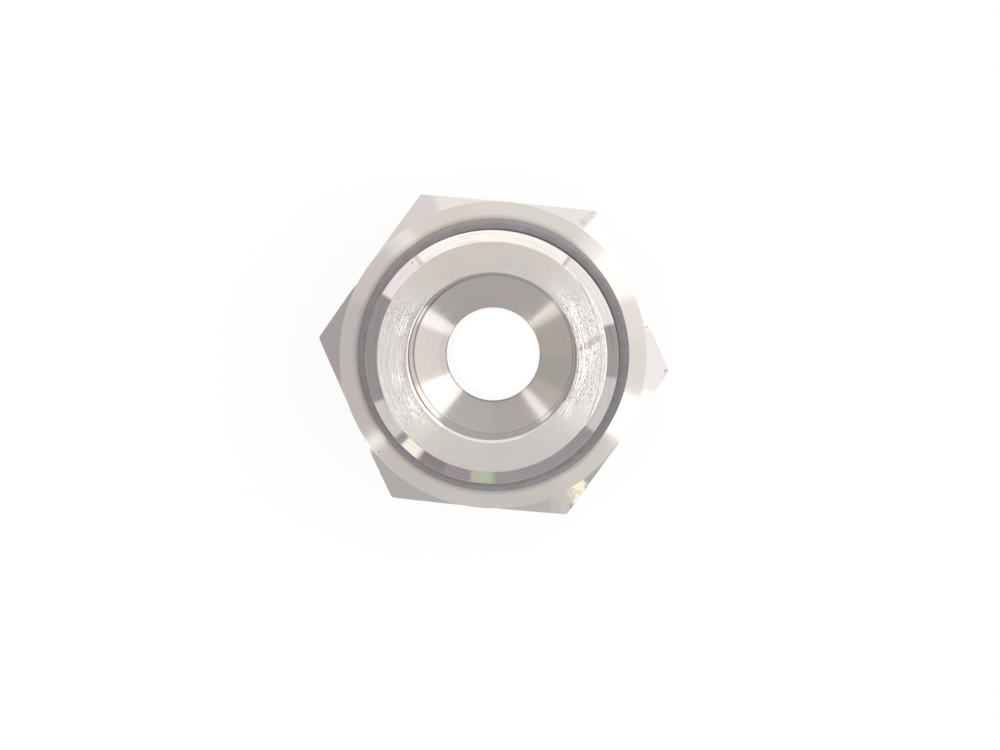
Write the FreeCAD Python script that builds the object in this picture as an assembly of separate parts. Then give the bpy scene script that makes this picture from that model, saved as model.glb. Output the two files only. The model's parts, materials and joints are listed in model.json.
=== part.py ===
import FreeCAD, Part
import math
import os

from FreeCAD import Vector

# Straight male stud fitting in steel, in millimetres, +Z up.
# It stands on its tube end. The origin is on the axis, in the rear end face,
# and the hexagon has a corner on +X.

# Tube end, at the rear: M20 x 1.5 outside, with an undercut behind the hexagon
tube_thread_diameter = 20.0
tube_end_length = 17.0
tube_end_chamfer = 1.1
tube_undercut_depth = 1.15
tube_undercut_width = 2.6
tube_undercut_corner = 0.5

# Tube socket, open at the rear end face: a 24 degree cone, then the seat for a 12 mm tube
tube_diameter = 12.0
tube_clearance = 0.05
socket_flare = 1.1
socket_cone_angle = 24.0
socket_seat_length = 2.3

# Hexagon, with its corners turned off to a cone at both ends
hex_across_flats = 27.0
hex_length = 12.2
hex_rear_circle = 25.6
hex_chamfer_angle = 30.0

# Collar in front of the hexagon: its face, outside the groove, seals on the port
collar_height = 1.8
collar_face_width = 1.5
collar_edge_break = 0.2

# Seal ring, held in the groove of the collar by its wider foot
seal_width = 2.65
seal_thickness = 1.5
seal_foot = 0.12
seal_edge_break = 0.2
seal_inner_clearance = 0.1
seal_outer_clearance = 0.05
seal_stands_proud = 0.15
groove_lip_break = 0.25

# Stud, at the front: G 1/2 outside, with an undercut down to the groove
stud_thread_diameter = 20.955
stud_length = 14.0
stud_end_chamfer = 1.0
stud_undercut_depth = 1.3275
stud_undercut_width = 2.0

# Both undercuts rise to their thread on this slope from the axis
undercut_slope_angle = 30.0

# Bores
flow_bore_diameter = 8.1
counterbore_diameter = 13.8
counterbore_depth = 12.0
counterbore_lip_radius = 0.2
drill_point_angle = 140.0

# Heights along the axis
hex_top = tube_end_length + hex_length
collar_top = hex_top + collar_height
stud_top = collar_top + stud_length
groove_floor = collar_top - seal_thickness + seal_stands_proud

# Radii, from the stud outwards
stud_radius = stud_thread_diameter / 2
neck_radius = stud_radius - stud_undercut_depth
seal_inner_radius = neck_radius + seal_inner_clearance
seal_outer_radius = seal_inner_radius + seal_width
groove_lip_radius = seal_outer_radius + seal_outer_clearance
collar_radius = groove_lip_radius + collar_face_width
corner_radius = hex_across_flats / 2 / math.cos(math.radians(30))


def point(radius, height):
    """A point of a half section, which stands in the XZ plane."""
    return Vector(radius, 0, height)


def polyline(*corners):
    """Straight edges of a half section through its corners, each a radius and a height."""
    points = [point(*corner) for corner in corners]
    return [Part.makeLine(start, end) for start, end in zip(points, points[1:])]


def turned(edges):
    """The solid that a closed half section sweeps in one turn about the axis."""
    face = Part.Face(Part.Wire(edges))
    return face.revolve(Vector(0, 0, 0), Vector(0, 0, 1), 360)


def slope_rise(depth):
    """The length along the axis over which an undercut rises to its thread."""
    return depth / math.tan(math.radians(undercut_slope_angle))


def hexagon():
    """Hexagonal bar with its corners turned off to a cone at both ends."""
    corners = []
    for index in range(7):
        turn = math.radians(60 * index)
        corners.append(
            Vector(corner_radius * math.cos(turn), corner_radius * math.sin(turn), tube_end_length)
        )
    bar = Part.Face(Part.makePolygon(corners)).extrude(Vector(0, 0, hex_length))
    slope = math.tan(math.radians(hex_chamfer_angle))
    clear_radius = corner_radius + 1
    rear_radius = hex_rear_circle / 2
    cones = turned(
        polyline(
            (0, tube_end_length),
            (rear_radius, tube_end_length),
            (clear_radius, tube_end_length + (clear_radius - rear_radius) * slope),
            (clear_radius, hex_top - (clear_radius - collar_radius) * slope),
            (collar_radius, hex_top),
            (0, hex_top),
            (0, tube_end_length),
        )
    )
    return bar.common(cones)


def tube_end():
    """Rear spigot: lead chamfer, thread diameter, slope, undercut and its corner at the hexagon."""
    outer = tube_thread_diameter / 2
    neck = outer - tube_undercut_depth
    neck_start = tube_end_length - tube_undercut_width
    return turned(
        polyline(
            (0, 0),
            (outer - tube_end_chamfer, 0),
            (outer, tube_end_chamfer),
            (outer, neck_start - slope_rise(tube_undercut_depth)),
            (neck, neck_start),
            (neck, tube_end_length - tube_undercut_corner),
            (neck + tube_undercut_corner, tube_end_length),
            (0, tube_end_length),
            (0, 0),
        )
    )


def collar_and_stud():
    """Front half: collar, seal groove with its leaning wall, neck, slope, thread diameter, chamfer."""
    neck_end = collar_top + stud_undercut_width
    return turned(
        polyline(
            (0, hex_top),
            (collar_radius, hex_top),
            (collar_radius, collar_top - collar_edge_break),
            (collar_radius - collar_edge_break, collar_top),
            (groove_lip_radius + groove_lip_break, collar_top),
            (groove_lip_radius, collar_top - groove_lip_break),
            (groove_lip_radius + seal_foot, groove_floor),
            (neck_radius, groove_floor),
            (neck_radius, neck_end),
            (stud_radius, neck_end + slope_rise(stud_undercut_depth)),
            (stud_radius, stud_top - stud_end_chamfer),
            (stud_radius - stud_end_chamfer, stud_top),
            (0, stud_top),
            (0, hex_top),
        )
    )


def bores():
    """Everything drilled along the axis: tube socket, flow bore and the stud's counterbore."""
    past_end = 1
    half_cone = math.tan(math.radians(socket_cone_angle / 2))
    seat_radius = tube_diameter / 2 + tube_clearance
    seat_start = socket_flare / half_cone
    flow_radius = flow_bore_diameter / 2
    counter_radius = counterbore_diameter / 2
    counter_floor = stud_top - counterbore_depth
    point_depth = (counter_radius - flow_radius) / math.tan(math.radians(drill_point_angle / 2))
    lip = counterbore_lip_radius
    wall = polyline(
        (0, -past_end),
        (seat_radius + socket_flare + past_end * half_cone, -past_end),
        (seat_radius, seat_start),
        (seat_radius, seat_start + socket_seat_length),
        (flow_radius, seat_start + socket_seat_length),
        (flow_radius, counter_floor - point_depth),
        (counter_radius, counter_floor),
        (counter_radius, stud_top - lip),
    )
    half_way = lip - lip * math.cos(math.radians(45))
    mouth = Part.Arc(
        point(counter_radius, stud_top - lip),
        point(counter_radius + half_way, stud_top - half_way),
        point(counter_radius + lip, stud_top),
    ).toShape()
    outside = polyline(
        (counter_radius + lip, stud_top),
        (counter_radius + lip, stud_top + past_end),
        (0, stud_top + past_end),
        (0, -past_end),
    )
    return turned(wall + [mouth] + outside)


def fitting_body():
    """The fitting's one turned piece."""
    solid = hexagon().fuse([tube_end(), collar_and_stud()]).removeSplitter()
    return solid.cut(bores())


def seal_ring():
    """Elastomer ring with a wider foot and broken edges, seated on the groove's floor."""
    top = groove_floor + seal_thickness
    ring = turned(
        polyline(
            (seal_inner_radius, groove_floor),
            (seal_outer_radius + seal_foot, groove_floor),
            (seal_outer_radius, top),
            (seal_inner_radius, top),
            (seal_inner_radius, groove_floor),
        )
    )
    rims = [edge for edge in ring.Edges if isinstance(edge.Curve, Part.Circle)]
    return ring.makeChamfer(seal_edge_break, rims)


os.makedirs("parts", exist_ok=True)
fitting_body().exportStep("parts/fitting_body.step")
seal_ring().exportStep("parts/seal_ring.step")
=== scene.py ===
"""Looks of a straight hydraulic stud fitting: turned steel body with true threads, and its seal ring.

Everything is in metres, +Z up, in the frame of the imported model. The fitting stands on its tube end.
"""

import json
import math
from types import SimpleNamespace

import bpy
import numpy as np
from mathutils import Matrix, Vector


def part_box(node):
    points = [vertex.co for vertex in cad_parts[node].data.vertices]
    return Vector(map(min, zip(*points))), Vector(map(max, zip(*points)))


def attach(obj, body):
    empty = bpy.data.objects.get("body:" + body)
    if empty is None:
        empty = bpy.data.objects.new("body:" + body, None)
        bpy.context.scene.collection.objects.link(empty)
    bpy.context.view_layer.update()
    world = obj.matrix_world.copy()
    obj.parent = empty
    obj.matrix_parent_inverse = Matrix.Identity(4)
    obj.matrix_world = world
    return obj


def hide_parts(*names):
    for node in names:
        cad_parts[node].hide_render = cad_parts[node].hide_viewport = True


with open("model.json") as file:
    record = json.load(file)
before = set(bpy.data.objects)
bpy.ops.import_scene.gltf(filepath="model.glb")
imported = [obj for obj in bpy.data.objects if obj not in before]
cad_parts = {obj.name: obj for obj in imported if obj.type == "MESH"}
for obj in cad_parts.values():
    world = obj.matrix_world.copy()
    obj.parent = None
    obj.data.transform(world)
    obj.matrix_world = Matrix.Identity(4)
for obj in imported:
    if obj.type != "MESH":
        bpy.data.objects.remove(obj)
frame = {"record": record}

bl_info = {
    "name": "Hydraulic Stud Fitting",
    "version": (1, 0, 0),
    "blender": (4, 5, 0),
    "location": "View3D > Sidebar > Fitting",
    "description": "Builds a turned hydraulic fitting with its threads, seal ring and a pale studio",
    "category": "Add Mesh",
}

MM = 0.001
MOUNTS = {mount["name"]: mount for mount in frame["record"]["mounts"]}
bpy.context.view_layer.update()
BODY_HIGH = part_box("fitting_body")[1]
SEAL_LOW, SEAL_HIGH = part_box("seal_ring")
PORT_FACE_HEIGHT = MOUNTS["port_face"]["pos_m"][2]

# The photograph's image is turned against the frame's +X by this angle, in degrees
IMAGE_TURN = 5.5


def mount_radius(name):
    """Radius of a pin or bore mount, in metres."""
    return MOUNTS[name]["dims"]["r_mm"] * MM


def from_image(across, upward, height=0.0):
    """A place in the frame, from how far across and up it is in the image, and its height."""
    east, north = math.cos(math.radians(IMAGE_TURN)), math.sin(math.radians(IMAGE_TURN))
    return across * east - upward * north, across * north + upward * east, height


def number(name, text, default, **settings):
    """A property that holds a number."""
    return bpy.props.FloatProperty(name=name, description=text, default=default, **settings)


def length(name, text, default):
    """A property that holds a length in metres."""
    return number(name, text, default, min=0.0, precision=6, unit="LENGTH", subtype="DISTANCE")


def angle(name, text, degrees):
    """A property that holds an angle, given in degrees."""
    return number(name, text, math.radians(degrees), unit="ROTATION", subtype="ANGLE")


def colour(name, text, default):
    """A property that holds a linear colour."""
    return bpy.props.FloatVectorProperty(
        name=name, description=text, default=default, min=0.0, max=1.0, size=3, subtype="COLOR"
    )


def share(name, text, default):
    """A property that holds a number from 0 to 1."""
    return number(name, text, default, min=0.0, max=1.0, subtype="FACTOR")


class FittingSizes(bpy.types.PropertyGroup):
    """Sizes of the turned body."""

    corner_radius: length("Hexagon corner radius", "From the axis to a hexagon's corner", BODY_HIGH.x)
    top: length("Overall height", "Height of the stud's end face", BODY_HIGH.z)
    hex_bottom: length("Hexagon bottom", "Height where the hexagon starts", 17.0 * MM)
    hex_top: length("Hexagon top", "Height where the hexagon ends", 29.2 * MM)
    hex_rear_radius: length("Hexagon rear circle", "Radius where the corners start to fall", 12.8 * MM)
    hex_slope: angle("Hexagon slope", "Fall of the turned corners", 30.0)
    collar_radius: length("Collar radius", "Radius of the collar in front of the hexagon", 13.45 * MM)
    collar_break: length("Collar edge break", "Width of the collar's broken edge", 0.04 * MM)
    collar_fall: length("Collar face fall", "Fall of the collar's face to its outer edge", 0.06 * MM)
    groove_radius: length("Groove radius", "Radius of the seal groove's outer wall", 11.82 * MM)
    groove_lean: length("Groove lean", "Lean of the groove's wall down to its floor", 0.25 * MM)
    groove_break: length("Groove lip break", "Round of the groove's outer lip", 0.015 * MM)
    stud_radius: length("Stud radius", "Radius over the stud's thread", mount_radius("stud_thread"))
    stud_neck: length("Stud neck radius", "Radius of the undercut behind the stud's thread", 9.15 * MM)
    stud_neck_top: length("Stud neck top", "Height where the undercut starts to rise", 33.0 * MM)
    stud_thread_start: length("Stud thread start", "Height where the full thread starts", 35.2993 * MM)
    stud_chamfer: length("Stud chamfer", "Width and height of the chamfer at the stud's tip", 1.0 * MM)
    tube_radius: length(
        "Tube end radius", "Radius over the tube end's thread", mount_radius("tube_nut_thread")
    )
    tube_neck: length("Tube neck radius", "Radius of the undercut behind the nut's thread", 8.85 * MM)
    tube_neck_start: length("Tube neck start", "Height where the undercut starts", 14.4 * MM)
    tube_thread_top: length("Tube thread top", "Height where the full nut thread ends", 12.4082 * MM)
    tube_corner: length("Tube neck corner", "Cone between the neck and the hexagon", 0.5 * MM)
    tube_chamfer: length("Tube end chamfer", "Width and height of the lead chamfer", 1.1 * MM)
    cone_mouth: length("Tube cone mouth", "Radius of the 24 degree cone at the end face", 7.15 * MM)
    seat_radius: length("Tube seat radius", "Radius of the tube's seat", mount_radius("tube_socket"))
    seat_start: length("Tube seat start", "Height where the cone meets the seat", 5.1751 * MM)
    seat_end: length("Tube seat end", "Height of the shoulder that the tube stops on", 7.4751 * MM)
    flow_radius: length("Flow bore radius", "Radius of the bore right through", mount_radius("flow_bore"))
    counter_radius: length(
        "Counterbore radius", "Radius of the stud's counterbore", mount_radius("stud_counterbore")
    )
    counter_floor: length("Counterbore floor", "Height where the drill point cone starts", 33.0 * MM)
    counter_lip: length("Counterbore lip", "Mean width of the mouth's broken edge", 0.13 * MM)
    lip_shift: length("Lip shift", "How much wider the broken edge is on its wide side", 0.12 * MM)
    drift: length("Drill drift", "How far the drill point ran off the axis", 0.10 * MM)
    drift_turn: angle("Drill drift direction", "Direction in which the drill ran off", 98.0 + IMAGE_TURN)
    drill_point: angle("Drill point angle", "Full angle of the cone that the drill left", 140.0)
    edge_round: length("Edge round", "Round of a machined edge", 0.06 * MM)
    corner_round: length("Hexagon corner round", "Round of the drawn bar's corners", 0.35 * MM)
    stud_pitch: length("Stud thread pitch", "G 1/2 pitch", 1.814 * MM)
    tube_pitch: length("Nut thread pitch", "M20 x 1.5 pitch", 1.5 * MM)


class SealSizes(bpy.types.PropertyGroup):
    """Sizes of the seal ring."""

    inner_radius: length("Inner radius", "Radius of the ring's hole", 9.25 * MM)
    face_radius: length("Face radius", "Outer radius of the ring at its top face", 11.815 * MM)
    foot_radius: length("Foot radius", "Outer radius of the ring at its foot", 12.04 * MM)
    bottom: length("Bottom", "Height of the ring's foot", SEAL_LOW.z)
    top: length("Top", "Height of the ring's face", SEAL_HIGH.z)
    edge_round: length("Edge round", "Round of the moulded edges", 0.012 * MM)
    rim_width: length("Rim width", "Width of the eased outer rim", 0.35 * MM)
    rim_fall: length("Rim fall", "Fall of the eased rim to the collar's lip", 0.14 * MM)
    mould_line: length("Mould line", "Depth of the mould line in the ring's face", 0.02 * MM)


class FittingFinish(bpy.types.PropertyGroup):
    """Colours and finishes."""

    steel: colour("Plated steel", "Colour of the plated steel", (0.80, 0.76, 0.735))
    edge: colour("Bare edge", "Colour where handling has rubbed the edges", (0.88, 0.845, 0.82))
    rubber: colour("Seal rubber", "Colour of the seal ring", (0.218, 0.205, 0.209))
    face_roughness: share("Turned face roughness", "Roughness of the faces cut by a turning tool", 0.19)
    chamfer_roughness: share("Chamfer roughness", "Roughness of the burnished chamfer", 0.06)
    bar_roughness: share("Drawn bar roughness", "Roughness of the hexagon's flats", 0.30)
    rubber_roughness: share("Rubber roughness", "Roughness of the seal ring", 0.62)


class StudioSettings(bpy.types.PropertyGroup):
    """Floor, lamp and camera."""

    floor_radius: length("Floor radius", "Radius of the pale floor", 600.0 * MM)
    floor_colour: colour("Floor", "Colour of the floor", (0.9, 0.9, 0.895))
    focal: length("Focal length", "Focal length of the camera's lens", 97.56 * MM)
    sensor: length("Sensor width", "Width of the camera's sensor", 36.0 * MM)
    camera_height: length("Camera height", "Height of the camera above the floor", 268.0 * MM)
    lamp_power: number("Ceiling lamp", "Power of the soft ceiling lamp", 1.3, min=0.0, unit="POWER")


def add_object(name, data):
    """A new object of the scene."""
    made = bpy.data.objects.new(name, data)
    bpy.context.scene.collection.objects.link(made)
    return made


# Geometry

# Forms of the threads: height of the sharp triangle and depth of the groove, as shares of the pitch
METRIC_FORM = (0.866, 0.6134)
PIPE_FORM = (0.9605, 0.6403)

# Small dents in the hexagon's upper edge: image angle and half width in degrees, and depth
EDGE_NICKS = ((325.0, 1.6, 0.12 * MM), (152.5, 1.2, 0.10 * MM))

# Broken edge at the counterbore's mouth: the shares of its width in depth and of its extra width inwards
LIP_SLOPE = 0.65
LIP_INWARD = 0.5


def grid_angles():
    """Angles of the body's columns: the same steps in all six sectors, closer beside each corner."""
    half = np.radians(np.concatenate([[0, 0.25, 0.5, 0.85, 1.3], np.linspace(2, 30, 19)]))
    sector = np.concatenate([-half[:0:-1], half[:-1]])
    return (sector[None, :] + np.radians(60) * np.arange(6)[:, None]).ravel()


def hexagon_radius(angles, corner_radius, corner_round):
    """Distance from the axis to the hexagon's side at each angle.

    It is the flat's distance over the cosine of the angle from its middle. The corner is a round:
    a soft least of that and of the corner radius less the share that a round takes off.
    """
    flat = corner_radius * math.cos(math.radians(30))
    from_middle = (angles % math.radians(60)) - math.radians(30)
    straight = flat / np.cos(from_middle)
    tip = corner_radius - corner_round * (1 / math.cos(math.radians(30)) - 1)
    soft = corner_round * 0.2
    over = np.clip(straight - (tip - soft), 0, None)
    return straight - over + soft * np.tanh(over / (soft + 1e-12))


def nicks(angles):
    """Depth of the small dents along the hexagon's edge: a sum of bells over the angle."""
    total = np.zeros_like(angles)
    for place, width, depth in EDGE_NICKS:
        apart = (np.degrees(angles) - (place + IMAGE_TURN) + 180) % 360 - 180
        total += depth * np.exp(-((apart / width) ** 2))
    return total


def rounded_section(section, angles, curve_rows=4):
    """Rows of a closed half section with rounded corners, for all columns at once.

    Each line of the section is a corner: its radius, its height, its round and how many rows come before
    the next. A round replaces a corner B by the curve (1-u)^2 A + 2u(1-u) B + u^2 C, where A and C lie on
    the two sides at the round's tangent length. From C to the next A goes a straight line in even steps.
    Returns the rows, each a radius and a height per column, their directions, and each row's corner.
    """
    ones = np.ones_like(angles)
    corners = np.array([[line[0] * ones, line[1] * ones] for line in section])
    rounds = np.array([line[2] for line in section])
    before = np.roll(corners, 1, axis=0)
    after = np.roll(corners, -1, axis=0)
    inward, outward = corners - before, after - corners
    inward_length = np.linalg.norm(inward, axis=1, keepdims=True)
    outward_length = np.linalg.norm(outward, axis=1, keepdims=True)
    inward, outward = inward / inward_length, outward / outward_length
    turn = np.arccos(np.clip((inward * outward).sum(1, keepdims=True), -1, 1))
    reach = rounds[:, None, None] * np.tan(turn / 2)
    reach = np.minimum(reach, 0.45 * np.minimum(inward_length, outward_length))
    start, end = corners - inward * reach, corners + outward * reach
    rows, directions, owners = [], [], []
    for index, line in enumerate(section):
        corner, steps = corners[index], line[3]
        for u in np.linspace(0, 1, curve_rows):
            rows.append((1 - u) ** 2 * start[index] + 2 * u * (1 - u) * corner + u**2 * end[index])
            directions.append((1 - u) * inward[index] + u * outward[index])
            owners.append(index)
        target = start[(index + 1) % len(section)]
        for u in np.arange(1, steps + 1) / (steps + 1):
            rows.append((1 - u) * end[index] + u * target)
            directions.append(outward[index])
            owners.append(index)
    return np.array(rows), np.array(directions), np.array(owners)


def thread_groove(height, angles, pitch, sharp_height, depth):
    """Depth of a right-hand helical groove below the crest.

    The phase is height / pitch - angle / 2 pi. Across one phase the side is a triangle of the sharp
    height, and its tip and foot are eased to the thread's depth by a parabola.
    """
    phase = (height / pitch - angles / (2 * math.pi)) % 1.0
    side = (np.abs(2 * phase - 1) - 0.5) * sharp_height
    limit, ease = depth / 2, depth * 0.22
    over = np.clip(np.abs(side) - (limit - ease), 0, 2 * ease)
    eased = np.minimum(np.abs(side), limit + ease) - over**2 / (4 * ease)
    return limit - np.sign(side) * eased


def smooth_step(value, low, high):
    """Rises from 0 at low to 1 at high along 3t^2 - 2t^3."""
    t = np.clip((value - low) / (high - low), 0, 1)
    return t * t * (3 - 2 * t)


def row_directions(rows):
    """Directions along the section, from differences of neighbouring rows that a thread has moved."""
    step = np.roll(rows, -1, axis=0) - np.roll(rows, 1, axis=0)
    return step / np.maximum(np.linalg.norm(step, axis=1, keepdims=True), 1e-12)


def surface_points(rows, angles):
    """Points of the grid: the radius turned about the axis to each column's angle, and the height."""
    radius, height = rows[:, 0], rows[:, 1]
    return np.stack([radius * np.cos(angles), radius * np.sin(angles), height], axis=-1)


def surface_normals(rows, directions, angles):
    """Unit normals of the grid: the slope across columns crossed with the direction along the section."""
    step = np.roll(angles, -1) - np.roll(angles, 1)
    step = (step % (2 * math.pi))[None, :]
    change = (np.roll(rows, -1, axis=2) - np.roll(rows, 1, axis=2)) / step[:, None, :]
    radial = np.stack([np.cos(angles), np.sin(angles), np.zeros_like(angles)], axis=-1)
    around = np.stack([-np.sin(angles), np.cos(angles), np.zeros_like(angles)], axis=-1)
    up = np.array([0.0, 0.0, 1.0])
    across = change[:, 0, :, None] * radial + rows[:, 0, :, None] * around + change[:, 1, :, None] * up
    along = directions[:, 0, :, None] * radial + directions[:, 1, :, None] * up
    normal = np.cross(across, along)
    return normal / np.linalg.norm(normal, axis=-1, keepdims=True)


def ring_mesh(name, points, normals, zones, materials):
    """A mesh from a grid that closes in both directions, with one material per row of faces."""
    row_count, column_count = points.shape[:2]
    index = np.arange(row_count * column_count).reshape(row_count, column_count)
    right = np.roll(index, -1, axis=1)
    above = np.roll(index, -1, axis=0)
    faces = np.stack([index, right, np.roll(right, -1, axis=0), above], axis=-1).reshape(-1, 4)
    mesh = bpy.data.meshes.new(name)
    mesh.vertices.add(index.size)
    mesh.vertices.foreach_set("co", points.astype(np.float32).ravel())
    mesh.loops.add(faces.size)
    mesh.loops.foreach_set("vertex_index", faces.astype(np.int32).ravel())
    mesh.polygons.add(len(faces))
    mesh.polygons.foreach_set("loop_start", np.arange(0, faces.size, 4, dtype=np.int32))
    mesh.polygons.foreach_set("material_index", np.repeat(zones, column_count).astype(np.int32))
    mesh.polygons.foreach_set("use_smooth", np.ones(len(faces), dtype=bool))
    for material in materials:
        mesh.materials.append(material)
    mesh.update(calc_edges=True)
    mesh.normals_split_custom_set_from_vertices(normals.reshape(-1, 3).astype(np.float32))
    return add_object(name, mesh)


# Finishes

# Tints of the plating where it is warm and where it is cool
WARM = (1.015, 0.995, 0.975)
COOL = (0.98, 0.99, 1.0)

# How many arcs of tool marks fit in a radian
ARC_COUNT = 3.5

# Image directions, in degrees: where the end face has painted glints, the broken edge at the
# counterbore's mouth is wide, the painted shade on the drilled cone is strongest, the painted shade
# beside the seal is narrow and the seal is lighter by painted light
GLINT_SIDE = 5.0
WIDE_LIP_SIDE = 268.0
SHADE_LINES_SIDE = 199.5
NARROW_SHADE_SIDE = 4.0
SEAL_LIT_SIDE = 155.0

# Painted shade in thin dark lines round the bores: mount of the bore, height, width and strength
SHADE_LINES = (
    ("stud_counterbore", 33.0 * MM, 0.10 * MM, 0.65),
    ("flow_bore", 31.963 * MM, 0.14 * MM, 0.35),
)

# Heights between which the painted shade on the counterbore's mouth fades in
SHADED_MOUTH = (42.0 * MM, 43.4 * MM)

# Painted shade on the collar's face beside the seal: its inner radius, and its outer one in general and
# where it is narrow
SHADE_INSIDE = 11.82 * MM
SHADE_OUTSIDE = 12.42 * MM
SHADE_NARROW_OUTSIDE = 11.94 * MM

# Radii on the end face over which tool marks grow faint, specks thin out and the painted shade at the
# bore fades
MARKS_FADE = (7.7 * MM, 8.6 * MM)
SPECKS_FADE = (7.6 * MM, 9.4 * MM)
BORE_SHADE_FADE = (7.1 * MM, 7.6 * MM)

# Specks of the end face: their size across the circles and how many of them fit in a radian
SPECK_SIZE = 0.10 * MM
SPECK_COUNT = 34.0

# Depth of the end face's grain, and of the uneven ground at one corner of the hexagon
GRAIN_DEPTH = 0.004 * MM
UNEVEN_DEPTH = 0.025 * MM

# Arc scored in the end face: its centre across and up in the image, its radius, and where it fades
SCORE_CENTRE = (-3.28 * MM, -0.17 * MM)
SCORE_RADIUS = 12.26 * MM
SCORE_FADE = (0.02 * MM, 0.07 * MM)

# Radii on the seal between which its painted shade at the inner edge, under the stud, fades out, and its
# painted lighter rim fades in
SEAL_SHADE_FADE = (10.98 * MM, 11.12 * MM)
SEAL_LIT_RIM_FADE = (11.4 * MM, 11.8 * MM)

# Marks, each an image angle in degrees, then radius, height and size in millimetres
KNOCKS = (
    (152.1, 13.5, 29.1, 0.40), (149.0, 13.5, 29.1, 0.22), (322.9, 13.5, 29.1, 0.38),
    (335.0, 13.75, 29.0, 0.35), (354.2, 15.3, 28.1, 0.5), (10.7, 13.6, 29.1, 0.45),
    (297.0, 15.1, 28.2, 0.8), (301.5, 14.3, 28.6, 0.5), (54.4, 10.15, 44.3, 0.22),
    (130.3, 10.2, 44.3, 0.25), (220.5, 13.2, 30.9, 0.3),
)
SCUFFS = ((54.4, 15.1, 28.1, 0.9), (54.8, 14.6, 28.4, 0.9), (55.6, 14.1, 28.7, 0.9))
UNEVEN = ((296.0, 14.5, 28.5, 2.0), (301.0, 14.2, 28.6, 1.6))
SMUDGE = (
    (5.5, 7.45, 45.0, 0.45), (7.0, 7.9, 45.0, 0.45), (8.5, 8.35, 45.0, 0.45), (9.9, 8.8, 45.0, 0.45),
)


def fill(tree, made, inputs):
    """Links a node's inputs to sockets, or sets them to numbers, vectors and colours."""
    for key, value in inputs.items():
        entry = made.inputs[key]
        if isinstance(value, bpy.types.NodeSocket):
            tree.links.new(value, entry)
        else:
            entry.default_value = (*value, 1.0) if entry.type == "RGBA" else value


def node(tree, kind, inputs=None, **settings):
    """A new shader node with its settings and inputs."""
    made = tree.nodes.new(f"ShaderNode{kind}")
    for key, value in settings.items():
        setattr(made, key, value)
    fill(tree, made, inputs or {})
    return made


def maths(tree, operation, *values):
    """The output of a Math node."""
    return node(tree, "Math", dict(enumerate(values)), operation=operation).outputs[0]


def product(tree, first, *others):
    """The product of several values."""
    for other in others:
        first = maths(tree, "MULTIPLY", first, other)
    return first


def vector(tree, *parts):
    """A vector from its parts."""
    return node(tree, "CombineXYZ", dict(enumerate(parts))).outputs[0]


def distance(tree, place, other=(0.0, 0.0, 0.0)):
    """How far a place is from another, or from the origin."""
    ends = {0: place, 1: other}
    return node(tree, "VectorMath", ends, operation="DISTANCE").outputs["Value"]


def span(tree, value, low, high, start=0.0, end=1.0, kind="SMOOTHSTEP"):
    """The output of a Map Range node from low..high to start..end."""
    ranges = {"Value": value, "From Min": low, "From Max": high, "To Min": start, "To Max": end}
    return node(tree, "MapRange", ranges, interpolation_type=kind).outputs[0]


def blend(tree, factor, first, second):
    """The colour output of a Mix node."""
    return node(tree, "Mix", {0: factor, 6: first, 7: second}, data_type="RGBA").outputs[2]


def noise(tree, place, scale, detail=2.0, roughness=0.5, w=None):
    """The height output of a Noise Texture, in three dimensions or, with w, in four."""
    inputs = {"Vector": place, "Scale": scale, "Detail": detail, "Roughness": roughness}
    if w is not None:
        inputs["W"] = w
    dimensions = "3D" if w is None else "4D"
    return node(tree, "TexNoise", inputs, noise_dimensions=dimensions).outputs[0]


def shade(tint, factor):
    """A colour made darker or lighter by one factor."""
    return tuple(value * factor for value in tint)


def new_material(name):
    """A node material with an empty Principled shader wired to its output."""
    material = bpy.data.materials.new(name)
    material.use_nodes = True
    tree = material.node_tree
    shader = tree.nodes["Principled BSDF"]
    return material, tree, shader


def axis_coordinates(tree):
    """Object coordinates, the distance from the axis, the angle about it and the height."""
    place = node(tree, "TexCoord").outputs["Object"]
    parts = node(tree, "SeparateXYZ", {0: place}).outputs
    radius = distance(tree, vector(tree, parts[0], parts[1]))
    turn = maths(tree, "ARCTAN2", parts[1], parts[0])
    return place, parts, radius, turn


def finish_shader(tree, shader, body, rough, height, strength=1.0, depth=1.0):
    """Links a colour, a roughness and a bump of the given height to the shader."""
    bump = node(tree, "Bump", {"Strength": strength, "Distance": depth, "Height": height})
    fill(tree, shader, {"Base Color": body, "Roughness": rough, "Normal": bump.outputs[0]})


def make_metal(tree, shader, parts, anisotropy, turn=0.0):
    """Makes the shader a metal that stretches what it mirrors, by the direction round the axis."""
    around = {0: vector(tree, maths(tree, "MULTIPLY", parts[1], -1.0), parts[0])}
    tangent = node(tree, "VectorMath", around, operation="NORMALIZE").outputs[0]
    inputs = {"Anisotropic": anisotropy, "Anisotropic Rotation": turn, "Tangent": tangent}
    fill(tree, shader, {"Metallic": 1.0, **inputs})


def towards(tree, turn, direction):
    """The cosine of the angle between each point and an image direction, so 1 on that side."""
    return maths(tree, "COSINE", maths(tree, "SUBTRACT", turn, math.radians(direction + IMAGE_TURN)))


def round_axis(tree, along, turn, count):
    """A vector of a length and of the angle's cosine and sine, so that noise over it has no seam."""
    east = product(tree, maths(tree, "COSINE", turn), count)
    north = product(tree, maths(tree, "SINE", turn), count)
    return vector(tree, along, east, north)


def nearness(tree, place, marks):
    """A mask that is 1 at each of the listed marks and fades to 0 at its size."""
    near = None
    for turn, radius, height, size in marks:
        around = math.radians(turn + IMAGE_TURN)
        centre = (radius * math.cos(around) * MM, radius * math.sin(around) * MM, height * MM)
        fade = span(tree, distance(tree, place, centre), 0.3 * size * MM, size * MM, 1.0, 0.0)
        near = fade if near is None else maths(tree, "MAXIMUM", near, fade)
    return near


def spots(tree, place, marks, scale, low, high):
    """A mask of noise kept near each of the listed marks."""
    specks = noise(tree, place, scale, 2.0, 0.6)
    return span(tree, product(tree, specks, nearness(tree, place, marks)), low, high)


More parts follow.
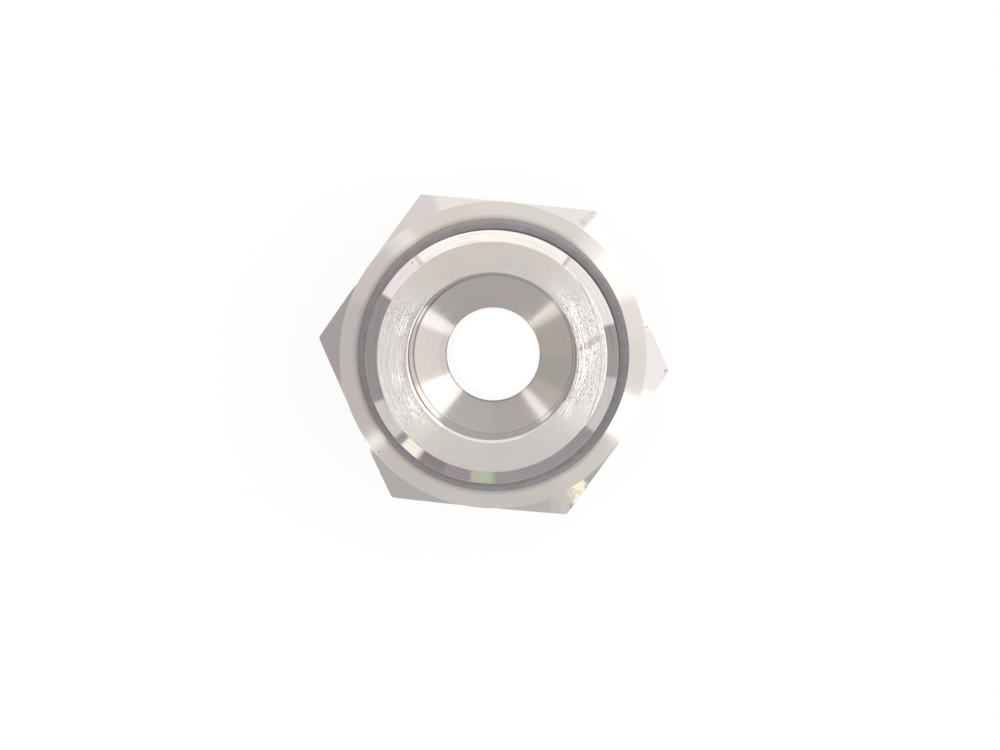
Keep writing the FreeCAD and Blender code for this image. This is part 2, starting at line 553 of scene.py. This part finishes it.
def darken(look, factor, *masks):
    """Blends the colour to darker steel, by the product of the masks."""
    look.body = blend(look.tree, product(look.tree, *masks), look.body, shade(look.steel, factor))


def knocked_edges(look, depth):
    """Adds the knocks and scuffs to the colour, and gives the height of knocks and uneven ground."""
    tree, place = look.tree, look.place
    knocked = spots(tree, place, KNOCKS, 3200.0, 0.42, 0.52)
    scuffed = spots(tree, place, SCUFFS, 6000.0, 0.3, 0.6)
    darken(look, 0.4, knocked, 0.6)
    darken(look, 0.5, scuffed, 0.38)
    ground = maths(tree, "SUBTRACT", noise(tree, place, 1000.0, 1.0, 0.5), 0.5)
    uneven = product(tree, ground, nearness(tree, place, UNEVEN), UNEVEN_DEPTH)
    return maths(tree, "SUBTRACT", uneven, product(tree, knocked, depth))


def end_face_wear_and_glints(look):
    """Worn marks and painted light of the stud's end face.

    Painted glints: two opposite sides, where the light glints, have dark specks, which are noise along
    the circles, and painted shade beside the bore. A scored arc is all that lies one radius from its
    centre, and there is a grey smudge. The tool marks come in patches and fade outwards. The tube end's
    face shares the finish, but has none of the specks, the shade beside the bore or the scored arc.
    """
    tree, place, radius, turn = look.tree, look.place, look.radius, look.turn
    on_stud = span(tree, look.height, PORT_FACE_HEIGHT, PORT_FACE_HEIGHT + 10 * MM)
    side = towards(tree, turn, GLINT_SIDE)
    sideways = maths(tree, "ABSOLUTE", side)
    along = maths(tree, "DIVIDE", radius, SPECK_SIZE)
    specks = noise(tree, round_axis(tree, along, turn, SPECK_COUNT), 1.0, 2.0, 0.65)
    # Painted glints: dark specks only on the two sides where the light glints, so the rest of them shows
    # as glints
    darken(
        look,
        0.4,
        span(tree, specks, 0.32, 0.56, 1.0, 0.0),
        span(tree, sideways, 0.72, 0.9),
        span(tree, side, -0.99, -0.85, 0.4, 1.0),
        span(tree, radius, *SPECKS_FADE, 0.75, 0.4),
        on_stud,
    )
    # Painted shade beside the bore, on the same two sides
    bore_shade = span(tree, radius, *BORE_SHADE_FADE, 0.4, 0.0)
    darken(look, 0.5, bore_shade, span(tree, sideways, 0.6, 0.85), on_stud)
    flatten = {0: place, 1: (1.0, 1.0, 0.0)}
    flat = node(tree, "VectorMath", flatten, operation="MULTIPLY").outputs[0]
    from_centre = distance(tree, flat, from_image(*SCORE_CENTRE))
    off = maths(tree, "ABSOLUTE", maths(tree, "SUBTRACT", from_centre, SCORE_RADIUS))
    darken(look, 0.4, span(tree, off, *SCORE_FADE, 0.5, 0.0), on_stud)
    darken(look, 0.5, spots(tree, place, SMUDGE, 900.0, 0.1, 0.5), 0.6)
    patches = span(tree, noise(tree, place, 500.0, 0.0, 0.5), 0.35, 0.65, 0.3, 1.4)
    marks = product(tree, look.raised, patches, span(tree, radius, *MARKS_FADE, 1.0, 0.3))
    look.raised = maths(tree, "MULTIPLY_ADD", noise(tree, place, 7000.0, 3.0, 0.6), GRAIN_DEPTH, marks)


def fine_lines(look):
    """Wear of the burnished chamfer: faint dark lines where the arcs are strong."""
    darken(look, 0.5, span(look.tree, look.arcs, 0.5, 0.66), 0.3)


def shaded_rough_mouth(look):
    """Painted shade on the counterbore's wall: two opposite sides of its mouth are darker, and also
    rougher.
    """
    tree = look.tree
    sideways = span(tree, maths(tree, "ABSOLUTE", maths(tree, "COSINE", look.turn)), 0.5, 0.85)
    shade_and_rough_mask = product(tree, span(tree, look.height, *SHADED_MOUTH), sideways)
    # Painted shade: the two sides of the mouth are darker
    darken(look, 0.45, shade_and_rough_mask)
    look.rough = maths(tree, "MULTIPLY_ADD", shade_and_rough_mask, 0.35, look.rough)


def shade_bore_circles(look):
    """Painted shade on the drilled cone: a thin dark line along each of its circles, strongest on one
    side.
    """
    tree = look.tree
    side = span(tree, towards(tree, look.turn, SHADE_LINES_SIDE), -0.5, 0.6, 0.35, 1.0)
    for mount, level, width, strength in SHADE_LINES:
        aside = maths(tree, "SUBTRACT", look.radius, mount_radius(mount))
        above = maths(tree, "SUBTRACT", look.height, level)
        off = distance(tree, vector(tree, aside, above))
        # Painted shade along the circle
        darken(look, 0.25, span(tree, off, 0.4 * width, width, strength, 0.0), side)


def seal_shade_on_collar(look):
    """Painted shade on the collar's face: darker beside the seal and fading out from it, narrow on one
    side.
    """
    tree = look.tree
    side = towards(tree, look.turn, NARROW_SHADE_SIDE)
    outside = span(tree, side, 0.55, 0.85, SHADE_OUTSIDE, SHADE_NARROW_OUTSIDE)
    width = maths(tree, "SUBTRACT", outside, SHADE_INSIDE)
    across = maths(tree, "DIVIDE", maths(tree, "SUBTRACT", look.radius, SHADE_INSIDE), width)
    shade_share = maths(tree, "POWER", span(tree, across, 0.0, 1.0, 1.0, 0.0, "LINEAR"), 1.6)
    # Painted shade beside the seal
    darken(look, 0.3, shade_share, 0.75)


def turned_steel(finish, name, roughness, anisotropy, marks, knocks=0.0, wear_and_painted_light=None):
    """Plated steel cut by a turning tool.

    The marks are given by their size and the depth of their rings and arcs, in millimetres. The rings are
    noise over the distance from the axis and the height, so they run right round. The arcs are noise over
    those two and the angle's cosine and sine, so they break off after a few degrees and have no seam.
    Knocks is the depth of the knocks on the edges, in millimetres, and wear_and_painted_light adds what
    one
    face alone has: worn marks, and on some faces painted light and shade.
    """
    material, tree, shader = new_material(name)
    place, parts, radius, turn = axis_coordinates(tree)
    size, ring_depth, arc_depth = (value * MM for value in marks)
    fine = maths(tree, "DIVIDE", radius, size)
    up = maths(tree, "DIVIDE", parts[2], size)
    rings = noise(tree, vector(tree, fine, up), 1.0, 3.0, 0.6)
    arcs = noise(tree, round_axis(tree, fine, turn, ARC_COUNT), 1.0, 1.5, 0.55, up)
    wide = noise(tree, place, 260.0, 3.0, 0.55)
    cast = noise(tree, place, 90.0, 1.0, 0.5)
    steel, edge = tuple(finish.steel), tuple(finish.edge)
    warm, cool = (tuple(np.minimum(np.multiply(steel, tint), 1.0)) for tint in (WARM, COOL))
    body = blend(tree, span(tree, cast, 0.35, 0.65), cool, warm)
    body = blend(tree, product(tree, span(tree, wide, 0.5, 0.8), 0.25), body, edge)
    # What worn marks and painted light read and change
    look = SimpleNamespace(
        tree=tree,
        place=place,
        radius=radius,
        turn=turn,
        height=parts[2],
        arcs=arcs,
        steel=steel,
        body=blend(tree, product(tree, span(tree, arcs, 0.55, 0.7), 0.12), body, edge),
        rough=span(tree, arcs, 0.35, 0.65, roughness * 0.88, roughness * 1.15, "LINEAR"),
        raised=product(tree, maths(tree, "SUBTRACT", arcs, 0.5), arc_depth),
    )
    sunk = knocked_edges(look, knocks * MM) if knocks else 0.0
    if wear_and_painted_light:
        wear_and_painted_light(look)
    height = maths(tree, "ADD", maths(tree, "MULTIPLY_ADD", rings, ring_depth, look.raised), sunk)
    make_metal(tree, shader, parts, anisotropy, 0.25)
    finish_shader(tree, shader, look.body, look.rough, height)
    return material


def drawn_steel(finish):
    """Plated drawn bar: noise stretched along the height makes its lines, and spots of it are rubbed."""
    material, tree, shader = new_material("drawn_bar")
    place, parts, _, _ = axis_coordinates(tree)
    stretch = node(tree, "Mapping", {"Vector": place, "Scale": (1.0, 1.0, 0.03)}).outputs[0]
    lines = noise(tree, stretch, 5200.0, 3.0, 0.6)
    wide = noise(tree, place, 300.0, 3.0, 0.6)
    dents = span(tree, noise(tree, place, 900.0, 2.0, 0.5), 0.66, 0.74)
    steel, edge = tuple(finish.steel), tuple(finish.edge)
    body = blend(tree, span(tree, wide, 0.35, 0.7), shade(steel, 0.93), steel)
    body = blend(tree, product(tree, dents, 0.5), body, edge)
    rough = span(tree, lines, 0.3, 0.7, finish.bar_roughness * 0.85, finish.bar_roughness * 1.3)
    height = maths(tree, "SUBTRACT", lines, product(tree, dents, 1.5))
    make_metal(tree, shader, parts, 0.5)
    finish_shader(tree, shader, body, rough, height, depth=0.008 * MM)
    return material


def moulded_rubber(finish):
    """Matt moulded rubber.

    Its grain is noise in the bump, and so are the faint rings from its mould, over the distance from the
    axis and the height. Noise sets the colour, and painted light makes one side lighter. Painted shade
    makes the inner edge of what shows dark, under the stud, and painted light makes the outer rim lighter
    on two opposite sides.
    """
    material, tree, shader = new_material("seal_rubber")
    place, parts, radius, turn = axis_coordinates(tree)
    grain = noise(tree, place, 9000.0, 3.0, 0.6)
    dust = noise(tree, place, 1400.0, 4.0, 0.65)
    rings = noise(tree, vector(tree, radius, parts[2]), 5000.0, 1.0, 0.5)
    # Painted light: the seal is lighter towards one side, over the dust's noise
    dust_and_painted_light = maths(tree, "MULTIPLY_ADD", towards(tree, turn, SEAL_LIT_SIDE), 0.28, dust)
    dust_and_light_share = span(tree, dust_and_painted_light, 0.15, 0.95, kind="LINEAR")
    body = blend(tree, dust_and_light_share, shade(finish.rubber, 0.85), shade(finish.rubber, 1.36))
    # Painted shade under the stud: the inner edge of what shows is dark
    body = blend(tree, span(tree, radius, *SEAL_SHADE_FADE, 0.75, 0.0), body, (0.03, 0.03, 0.03))
    # Painted light: the outer rim is lighter on two opposite sides
    crosswise = span(tree, maths(tree, "ABSOLUTE", maths(tree, "SINE", turn)), 0.35, 0.85, 0.0, 0.3)
    rim = product(tree, span(tree, radius, *SEAL_LIT_RIM_FADE), crosswise)
    body = blend(tree, rim, body, (0.42, 0.41, 0.41))
    rough = span(tree, grain, 0.3, 0.7, finish.rubber_roughness * 0.9, finish.rubber_roughness * 1.15)
    height = maths(tree, "MULTIPLY_ADD", rings, 0.7, grain)
    finish_shader(tree, shader, body, rough, height, 0.7, 0.012 * MM)
    return material


# Pieces


def build_body(sizes, finish):
    """The turned body: one closed section carried round the axis.

    The hexagon is in the section's radius, as far out as the sides are at each angle. The threads are
    helical grooves taken off the radius. The broken edge at the counterbore's mouth is its mean width
    plus a cosine of the angle from its wide side. The drill's drift moves the cone off the axis, and
    fades out by smooth steps up the counterbore and down the flow bore.
    """
    angles = grid_angles()
    side = hexagon_radius(angles, sizes.corner_radius, sizes.corner_round)
    dented = side - nicks(angles)
    slope = math.tan(sizes.hex_slope)
    top, edge = sizes.top, sizes.edge_round
    lean = sizes.lip_shift * np.cos(angles - math.radians(WIDE_LIP_SIDE + IMAGE_TURN))
    lip = sizes.counter_lip + lean
    mouth = sizes.counter_radius - LIP_INWARD * lean
    point_fall = (sizes.counter_radius - sizes.flow_radius) / math.tan(sizes.drill_point / 2)
    face, burnished, cone, bar, thread, bore, drilled, port, reamed = range(9)
    tube_tip = sizes.tube_radius - sizes.tube_chamfer
    stud_tip = sizes.stud_radius - sizes.stud_chamfer
    chamfer_start = top - sizes.stud_chamfer
    wall_floor = SEAL_LOW.z
    collar_edge = PORT_FACE_HEIGHT - sizes.collar_fall
    # Each line is a corner: its radius, height and round, the rows up to the next, and their finish
    section = (
        (sizes.cone_mouth, 0.0, edge, 2, face),
        (tube_tip, 0.0, edge, 5, thread),
        (sizes.tube_radius, sizes.tube_chamfer, edge, 80, thread),
        (sizes.tube_radius, sizes.tube_thread_top, edge, 11, thread),
        (sizes.tube_neck, sizes.tube_neck_start, edge, 1, thread),
        (sizes.tube_neck, sizes.hex_bottom - sizes.tube_corner, edge, 0, cone),
        (sizes.tube_neck + sizes.tube_corner, sizes.hex_bottom, edge, 2, face),
        (sizes.hex_rear_radius, sizes.hex_bottom, edge, 3, cone),
        (side, sizes.hex_bottom + (side - sizes.hex_rear_radius) * slope, edge, 6, bar),
        (dented, sizes.hex_top - (dented - sizes.collar_radius) * slope, edge, 3, cone),
        (sizes.collar_radius, sizes.hex_top, 0.01 * MM, 2, cone),
        (sizes.collar_radius, collar_edge - sizes.collar_break, 0.04 * MM, 0, cone),
        (sizes.collar_radius - sizes.collar_break, collar_edge, 0.04 * MM, 3, port),
        (sizes.groove_radius, PORT_FACE_HEIGHT, sizes.groove_break, 2, port),
        (sizes.groove_radius + sizes.groove_lean, wall_floor, 0.01 * MM, 2, face),
        (sizes.stud_neck, wall_floor, edge, 3, cone),
        (sizes.stud_neck, sizes.stud_neck_top, edge, 15, thread),
        (sizes.stud_radius, sizes.stud_thread_start, edge, 66, thread),
        (sizes.stud_radius, chamfer_start, 0.04 * MM, 3, burnished),
        (stud_tip, top, 0.09 * MM, 4, face),
        (mouth + lip, top, 0.03 * MM, 1, cone),
        (mouth, top - LIP_SLOPE * lip, 0.05 * MM, 4, bore),
        (sizes.counter_radius, sizes.counter_floor, 0.02 * MM, 5, drilled),
        (sizes.flow_radius, sizes.counter_floor - point_fall, edge, 5, reamed),
        (sizes.flow_radius, sizes.seat_end, edge, 2, face),
        (sizes.seat_radius, sizes.seat_end, 0.02 * MM, 2, bore),
        (sizes.seat_radius, sizes.seat_start, edge, 3, bore),
    )
    rows, directions, owners = rounded_section(section, angles)
    zones = np.array([line[4] for line in section])[owners]
    on_stud = rows[:, 1].mean(axis=1) > PORT_FACE_HEIGHT
    threads = (
        (~on_stud, sizes.tube_radius, sizes.tube_pitch, METRIC_FORM),
        (on_stud, sizes.stud_radius, sizes.stud_pitch, PIPE_FORM),
    )
    for reach, crest, pitch, form in threads:
        cut = np.flatnonzero(reach & (zones == thread))
        radius, height = rows[cut, 0], rows[cut, 1]
        groove = thread_groove(height, angles[None, :], pitch, form[0] * pitch, form[1] * pitch)
        # The stud's thread runs out below its chamfer
        if form is PIPE_FORM:
            groove *= 1 - smooth_step(height, chamfer_start - 0.5 * pitch, chamfer_start)
        rows[cut, 0] = np.minimum(radius, crest - groove)
        directions[cut] = row_directions(rows)[cut]
    points = surface_points(rows, angles)
    normals = surface_normals(rows, directions, angles)
    depth = smooth_step(rows[:, 1], sizes.seat_end, sizes.counter_floor - point_fall)
    depth *= 1 - smooth_step(rows[:, 1], sizes.counter_floor, top - lip)
    in_bores = rows[:, 0] < sizes.counter_radius + 0.5 * MM
    moved = in_bores * depth * sizes.drift
    points[..., 0] += moved * math.cos(sizes.drift_turn)
    points[..., 1] += moved * math.sin(sizes.drift_turn)
    # Each line is a finish: its name, roughness, anisotropy and marks, depth of its knocks, its own worn
    # marks and painted light
    turned = (
        ("turned_face", finish.face_roughness, 0.9, (0.10, 0.002, 0.030), 0.0, end_face_wear_and_glints),
        ("burnished_chamfer", finish.chamfer_roughness, 0.0, (0.10, 0.0002, 0.0), 0.006, fine_lines),
        ("turned_cone", 0.08, 0.0, (0.20, 0.001, 0.001), 0.0008),
        ("cut_thread", 0.24, 0.3, (0.20, 0.004, 0.003)),
        ("bored_wall", 0.10, 0.0, (0.15, 0.0003, 0.0003), 0.0, shaded_rough_mouth),
        ("drilled_cone", 0.13, 0.4, (0.22, 0.004, 0.003), 0.0, shade_bore_circles),
        ("port_face", 0.05, 0.0, (0.30, 0.0004, 0.0003), 0.01, seal_shade_on_collar),
        ("reamed_bore", 0.05, 0.0, (0.30, 0.0005, 0.0)),
    )
    materials = [turned_steel(finish, *line) for line in turned]
    materials.insert(bar, drawn_steel(finish))
    return ring_mesh("turned_body", points, normals, zones, materials)


def build_seal(sizes, finish):
    """The seal ring: a rounded section with a wider foot, carried round the axis.

    A fine mould line runs round its face, and two sine waves over the angle make the face uneven.
    """
    angles = np.radians(np.arange(0, 360, 1.5))
    middle = (sizes.inner_radius + sizes.face_radius) / 2
    bead = 0.05 * MM
    section = (
        (sizes.inner_radius, sizes.bottom, 0.2 * MM, 2),
        (sizes.foot_radius, sizes.bottom, 0.2 * MM, 2),
        (sizes.face_radius, sizes.top - 3 * sizes.rim_fall, sizes.edge_round, 1),
        (sizes.face_radius, sizes.top - sizes.rim_fall, sizes.edge_round, 1),
        (sizes.face_radius - sizes.rim_width, sizes.top, 0.6 * MM, 3),
        (middle + bead, sizes.top, bead, 0),
        (middle, sizes.top - sizes.mould_line, bead, 0),
        (middle - bead, sizes.top, bead, 3),
        (sizes.inner_radius, sizes.top, 0.2 * MM, 3),
    )
    rows, directions, _ = rounded_section(section, angles, 7)
    wave = 0.006 * MM * np.sin(5 * angles + 0.7) + 0.004 * MM * np.sin(11 * angles + 2.1)
    upper = smooth_step(rows[:, 1], sizes.bottom + 0.5 * MM, sizes.top)
    rows[:, 1] -= upper * (0.01 * MM + wave)
    points = surface_points(rows, angles)
    normals = surface_normals(rows, directions, angles)
    zones = np.zeros(len(rows))
    return ring_mesh("rubber_seal", points, normals, zones, [moulded_rubber(finish)])


# Studio

# Light round the fitting, in bands from overhead to the horizon. A band lists image angles in degrees,
# each with the level or colour up to the next. The right side is a window, with narrow gaps elsewhere.
CAP = (0.735, 0.72, 0.715)
OVERHEAD = (
    (0, 0.97), (19.5, 1.4), (41, 1.12), (47, 1.03), (52, (0.90, 0.875, 0.84)), (104, (0.86, 0.82, 0.78)),
    (131, 1.12), (135, 0.92), (142, (0.75, 0.71, 0.69)), (165, (0.64, 0.62, 0.62)),
    (216, (1.25, 1.25, 1.18)), (220, (0.69, 0.67, 0.66)), (244, (0.71, 0.70, 0.69)),
    (290, (0.76, 0.755, 0.73)), (319, 1.6), (337, 0.90),
)
HIGH = ((0, 3.5), (22, 3.8), (32, 0.76), (141, 0.74), (206, 2.0), (225, 0.72), (322, 3.5), (344, 3.8))
UPPER = (
    (0, (0.88, 0.83, 0.82)), (22, 1.45), (50, (0.56, 0.55, 0.54)), (90, (0.53, 0.51, 0.51)),
    (127, 1.14), (136, (0.56, 0.545, 0.535)), (153, (0.455, 0.45, 0.44)), (180, (0.50, 0.475, 0.46)),
    (212, (0.9, 0.88, 0.84)), (218, (1.15, 1.13, 1.05)), (222, (0.49, 0.475, 0.47)),
    (300, (0.50, 0.485, 0.475)), (323, 1.27), (336, (0.86, 0.80, 0.79)),
)
LOWER = (
    (0, (1.075, 1.09, 1.13)), (10, 1.7), (53.5, (1.04, 1.03, 1.03)), (80, (1.02, 1.03, 0.99)),
    (112, 0.84), (124, 0.82), (150, (0.49, 0.46, 0.47)), (190, 0.6), (213, 1.4), (218, 0.54),
    (262, 0.60), (291, (0.74, 0.725, 0.69)), (298.5, (1.25, 1.23, 1.0)), (304.5, 0.50), (322, 1.7),
    (345, (1.075, 1.09, 1.13)),
)
HORIZON = (
    (0, (0.44, 0.42, 0.43)), (15, 1.10), (51.3, 0.6), (52.6, (1.22, 1.225, 1.225)), (127, 0.7),
    (129, (1.09, 1.01, 1.05)), (151, (0.37, 0.36, 0.375)), (202, 0.78), (220.5, 0.38),
    (224, (1.2, 1.18, 1.09)), (233.5, (0.29, 0.27, 0.27)), (247, (0.38, 0.345, 0.385)),
    (259.5, (0.56, 0.66, 0.50)), (270, (0.41, 0.39, 0.42)), (322.5, 0.76), (349, 0.45),
)

# Each band's sectors, the blend at their edges, and the angles from overhead between which it takes over
BANDS = (
    (OVERHEAD, 0.5, 4.5, 6.5),
    (HIGH, 1.0, 11.0, 14.0),
    (UPPER, 0.8, 26.0, 32.0),
    (LOWER, 0.5, 48.0, 55.0),
    (HORIZON, 0.25, 74.0, 84.0),
)

# Brightest level that a band can hold
LEVEL_TOP = 4.0

# The floor's own white: the radii over which it falls from full under the fitting, a painted light where
# the bore shows the shaded floor, and its share outside
UNDER_FITTING_LIGHT_FADE = (6.0 * MM, 8.0 * MM)
OPEN_GLOW = 0.86

# Width and height of the ceiling lamp
LAMP_WIDTH = 500.0 * MM
LAMP_HEIGHT = 600.0 * MM

# Camera's place off the axis, and what it looks at: across and up in the image, and the height
CAMERA_PLACE = (2.2 * MM, 3.0 * MM)
CAMERA_TARGET = (0.55 * MM, -1.82 * MM, 28.0 * MM)


def sector_light(tree, turn, sectors, softness):
    """A colour ramp over the image angle, where each sector keeps its colour up to a short blend."""
    ramp = node(tree, "ValToRGB", {0: turn})
    stops = ramp.color_ramp
    stops.interpolation = "LINEAR"
    colours = [value if isinstance(value, tuple) else (value,) * 3 for _, value in sectors]
    wanted = []
    for index, (start, _) in enumerate(sectors):
        if start > 0:
            wanted.append((start - softness, colours[index - 1]))
            wanted.append((start + softness, colours[index]))
    wanted = [(0.0, colours[0]), *wanted, (360.0, colours[-1])]
    while len(stops.elements) < len(wanted):
        stops.elements.new(0.5)
    for element, (place, value) in zip(stops.elements, wanted):
        element.position = min(max(place / 360.0, 0.0), 1.0)
        element.color = (*shade(value, 1 / LEVEL_TOP), 1.0)
    return ramp.outputs[0]


def build_world():
    """The soft studio: its light depends on the direction only, and the camera sees plain white."""
    world = bpy.data.worlds.new("soft_studio")
    bpy.context.scene.world = world
    world.use_nodes = True
    tree = world.node_tree
    tree.nodes.clear()
    place = node(tree, "TexCoord").outputs["Generated"]
    parts = node(tree, "SeparateXYZ", {0: place}).outputs
    turn = maths(tree, "ARCTAN2", parts[1], parts[0])
    turn = maths(tree, "SUBTRACT", turn, math.radians(IMAGE_TURN))
    turn = maths(tree, "FRACT", maths(tree, "DIVIDE", turn, 2 * math.pi))
    zenith = maths(tree, "DEGREES", maths(tree, "ARCCOSINE", parts[2]))
    light = shade(CAP, 1 / LEVEL_TOP)
    for sectors, softness, start, end in BANDS:
        band = sector_light(tree, turn, sectors, softness)
        light = blend(tree, span(tree, zenith, start, end), light, band)
    path = node(tree, "LightPath").outputs
    seen = maths(tree, "MAXIMUM", path["Is Camera Ray"], path["Is Transmission Ray"])
    studio = node(tree, "Background", {"Color": light, "Strength": LEVEL_TOP})
    white = node(tree, "Background", {"Color": (1.0, 1.0, 1.0), "Strength": 1.0})
    mixed = node(tree, "MixShader", {0: seen, 1: studio.outputs[0], 2: white.outputs[0]})
    node(tree, "OutputWorld", {"Surface": mixed.outputs[0]})
    world.cycles.sampling_method = "NONE"


def floor_material(studio):
    """Pale floor: it takes the fitting's shadow, and its own white shows but lights nothing. Under the
    fitting that white is full, painted light on the floor that the bore shows in shade.
    """
    material, tree, shader = new_material("pale_floor")
    tree.nodes.remove(shader)
    place = node(tree, "TexCoord").outputs["Object"]
    grain = noise(tree, place, 500.0, 2.0, 0.5)
    pale = tuple(studio.floor_colour)
    base = blend(tree, grain, shade(pale, 0.99), pale)
    diffuse = node(tree, "BsdfDiffuse", {"Color": base})
    # Painted light: full white under the fitting, where the floor seen through the bore is in shade
    glow_and_painted_light = span(tree, distance(tree, place), *UNDER_FITTING_LIGHT_FADE, 1.0, OPEN_GLOW)
    path = node(tree, "LightPath").outputs
    seen = maths(tree, "MAXIMUM", path["Is Camera Ray"], path["Is Glossy Ray"])
    seen = maths(tree, "MAXIMUM", seen, path["Is Transmission Ray"])
    glow = node(tree, "Emission", {"Color": (1.0, 1.0, 1.0), "Strength": 1.0})
    mixing = {0: product(tree, seen, glow_and_painted_light), 1: diffuse.outputs[0], 2: glow.outputs[0]}
    mixed = node(tree, "MixShader", mixing)
    fill(tree, tree.nodes["Material Output"], {"Surface": mixed.outputs[0]})
    return material


def build_floor(studio):
    """A flat disc: rings whose radius grows as the square of the step, and 96 columns."""
    angles = np.linspace(0, 2 * math.pi, 96, endpoint=False)
    radii = studio.floor_radius * (np.arange(1, 13) / 12) ** 2
    ring = np.stack([np.outer(radii, np.cos(angles)), np.outer(radii, np.sin(angles))], axis=-1)
    ring = ring.reshape(-1, 2)
    points = np.vstack([[0.0, 0.0, 0.0], np.column_stack([ring, np.zeros(len(ring))])])
    index = 1 + np.arange(len(ring)).reshape(len(radii), len(angles))
    right = np.roll(index, -1, axis=1)
    hub = np.column_stack([np.zeros(len(angles), dtype=int), index[0], right[0]])
    bands = np.stack([index[:-1], index[1:], right[1:], right[:-1]], axis=-1).reshape(-1, 4)
    mesh = bpy.data.meshes.new("floor")
    mesh.from_pydata(points.tolist(), [], hub.tolist() + bands.tolist())
    mesh.materials.append(floor_material(studio))
    floor = add_object("floor", mesh)


def build_lamp(studio):
    """A wide ceiling lamp that fills the shade. Metal doesn't mirror it."""
    data = bpy.data.lights.new("ceiling_lamp", "AREA")
    data.shape = "DISK"
    data.size = LAMP_WIDTH
    data.energy = studio.lamp_power
    lamp = add_object("ceiling_lamp", data)
    lamp.location = (0.0, 0.0, LAMP_HEIGHT)
    lamp.visible_glossy = False
    lamp.visible_camera = False


def build_camera(studio):
    """The camera looks straight down the axis, a little off it, with the image turned against +X."""
    upward = Vector(from_image(0.0, 1.0))
    place = Vector(from_image(*CAMERA_PLACE, studio.camera_height))
    target = Vector(from_image(*CAMERA_TARGET))
    back = (place - target).normalized()
    right = upward.cross(back).normalized()
    up = back.cross(right)
    data = bpy.data.cameras.new("camera")
    data.sensor_width = studio.sensor / MM
    data.lens = studio.focal / MM
    data.clip_start, data.clip_end = 0.01, 10.0
    camera = add_object("camera", data)
    camera.matrix_world = Matrix.Translation(place) @ Matrix((right, up, back)).transposed().to_4x4()
    bpy.context.scene.camera = camera


# Add-on


class FITTING_OT_body(bpy.types.Operator):
    """Builds the turned steel body with both threads"""

    bl_idname = "fitting.build_body"
    bl_label = "Build Body"

    def execute(self, context):
        scene = context.scene
        piece = build_body(scene.fitting_sizes, scene.fitting_finish)
        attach(piece, "root")
        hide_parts("fitting_body")
        return {"FINISHED"}


class FITTING_OT_seal(bpy.types.Operator):
    """Builds the rubber seal ring in its groove"""

    bl_idname = "fitting.build_seal"
    bl_label = "Build Seal Ring"

    def execute(self, context):
        scene = context.scene
        piece = build_seal(scene.seal_sizes, scene.fitting_finish)
        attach(piece, "root")
        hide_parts("seal_ring")
        return {"FINISHED"}


class FITTING_OT_stage(bpy.types.Operator):
    """Builds the pale floor, the soft light and the camera"""

    bl_idname = "fitting.build_stage"
    bl_label = "Build Studio"

    def execute(self, context):
        studio = context.scene.studio_settings
        build_world()
        build_floor(studio)
        build_lamp(studio)
        build_camera(studio)
        context.scene.view_settings.view_transform = "Standard"
        return {"FINISHED"}


class FITTING_PT_panel(bpy.types.Panel):
    """Lists the steps that build the fitting"""

    bl_idname = "FITTING_PT_panel"
    bl_label = "Stud Fitting"
    bl_space_type = "VIEW_3D"
    bl_region_type = "UI"
    bl_category = "Fitting"

    def draw(self, context):
        column = self.layout.column(align=True)
        for step in OPERATORS:
            column.operator(step.bl_idname)
        finish = context.scene.fitting_finish
        self.layout.prop(finish, "steel")
        self.layout.prop(finish, "rubber")


GROUPS = {
    "fitting_sizes": FittingSizes,
    "seal_sizes": SealSizes,
    "fitting_finish": FittingFinish,
    "studio_settings": StudioSettings,
}
OPERATORS = (FITTING_OT_body, FITTING_OT_seal, FITTING_OT_stage)


def register():
    for made in (*GROUPS.values(), *OPERATORS, FITTING_PT_panel):
        bpy.utils.register_class(made)
    for name, group in GROUPS.items():
        setattr(bpy.types.Scene, name, bpy.props.PointerProperty(type=group))


def unregister():
    for name in GROUPS:
        delattr(bpy.types.Scene, name)
    for made in reversed((*GROUPS.values(), *OPERATORS, FITTING_PT_panel)):
        bpy.utils.unregister_class(made)


def main():
    register()
    bpy.ops.fitting.build_body()
    bpy.ops.fitting.build_seal()
    bpy.ops.fitting.build_stage()


if __name__ == "__main__":
    main()
